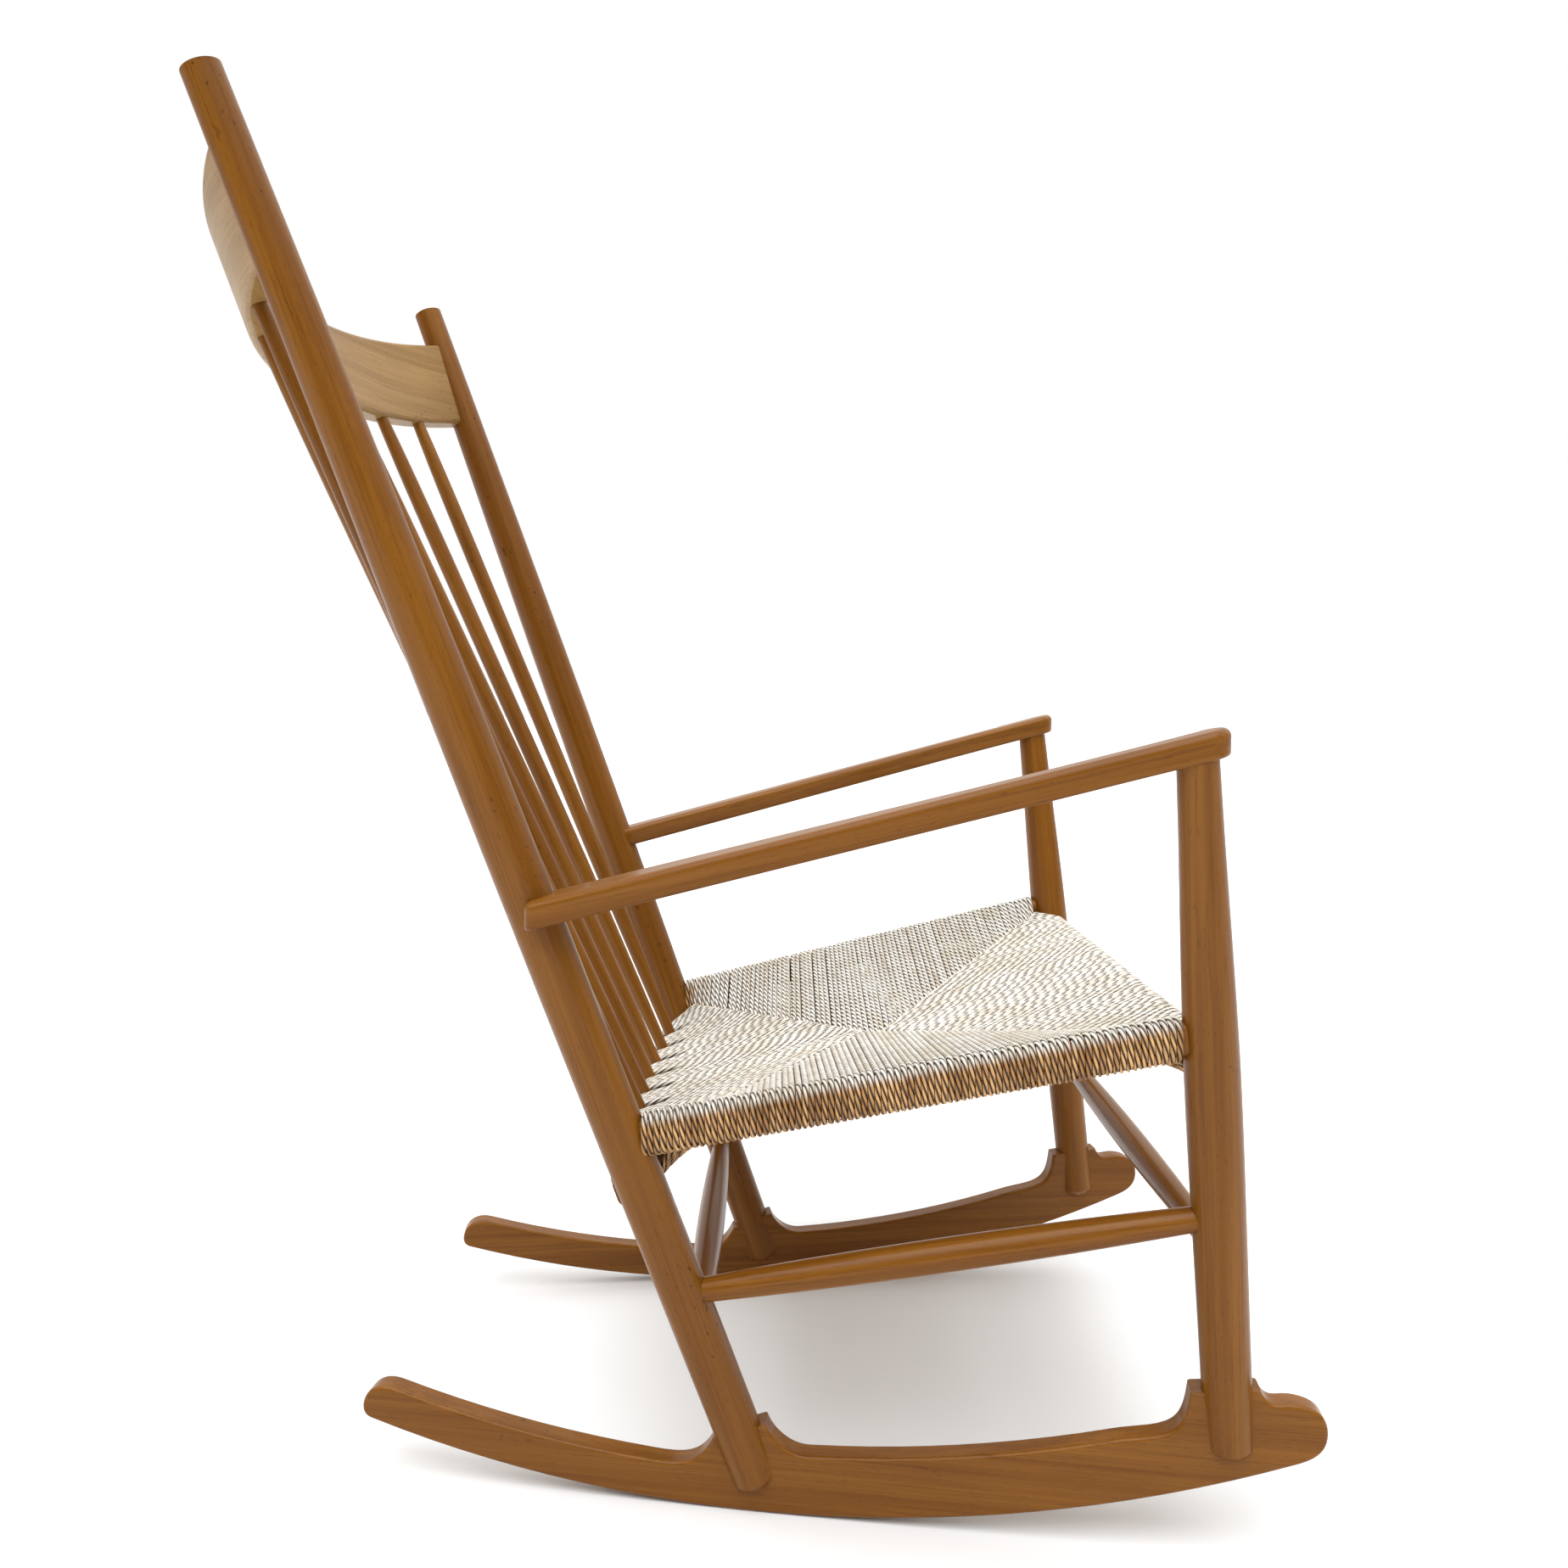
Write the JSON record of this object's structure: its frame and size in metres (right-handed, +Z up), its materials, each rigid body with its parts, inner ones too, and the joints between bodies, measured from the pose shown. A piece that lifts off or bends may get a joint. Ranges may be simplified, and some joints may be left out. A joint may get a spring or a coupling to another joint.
{
  "type": "rocking chair",
  "caption": "Wooden rocking chair with a spindle back, a bowed crest rail, tapered arms, turned legs straddling shaped rockers, and a woven cord seat.",
  "frame": {"origin": "on the floor under the middle of the bounding box, with the chair standing at its balanced rest angle", "axes": "+X towards the sitter's front, +Y towards the sitter's left, +Z up; the chair is symmetric about the plane Y = 0"},
  "size_m": [0.8984, 0.6232, 1.0789],
  "materials": {
    "wood": "clear lacquered beech, golden brown with fine flecks",
    "cord": "natural twisted paper cord, straw coloured, unfinished"
  },
  "bodies": {
    "root": {"arm_dowels": "wood", "arm_left": "wood", "arm_right": "wood", "back_post_left": "wood", "back_post_right": "wood", "crest_rail": "wood", "front_leg_left": "wood", "front_leg_right": "wood", "front_stretcher": "wood", "rear_stretcher": "wood", "rocker_left": "wood", "rocker_right": "wood", "seat_rail_front": "wood", "seat_rail_left": "wood", "seat_rail_rear": "wood", "seat_rail_right": "wood", "seat_weave": "cord", "side_stretcher_left": "wood", "side_stretcher_right": "wood", "spindle_1": "wood", "spindle_2": "wood", "spindle_3": "wood", "spindle_4": "wood", "spindle_5": "wood", "spindle_6": "wood", "spindle_7": "wood", "spindle_8": "wood"}
  },
  "joints": []
}
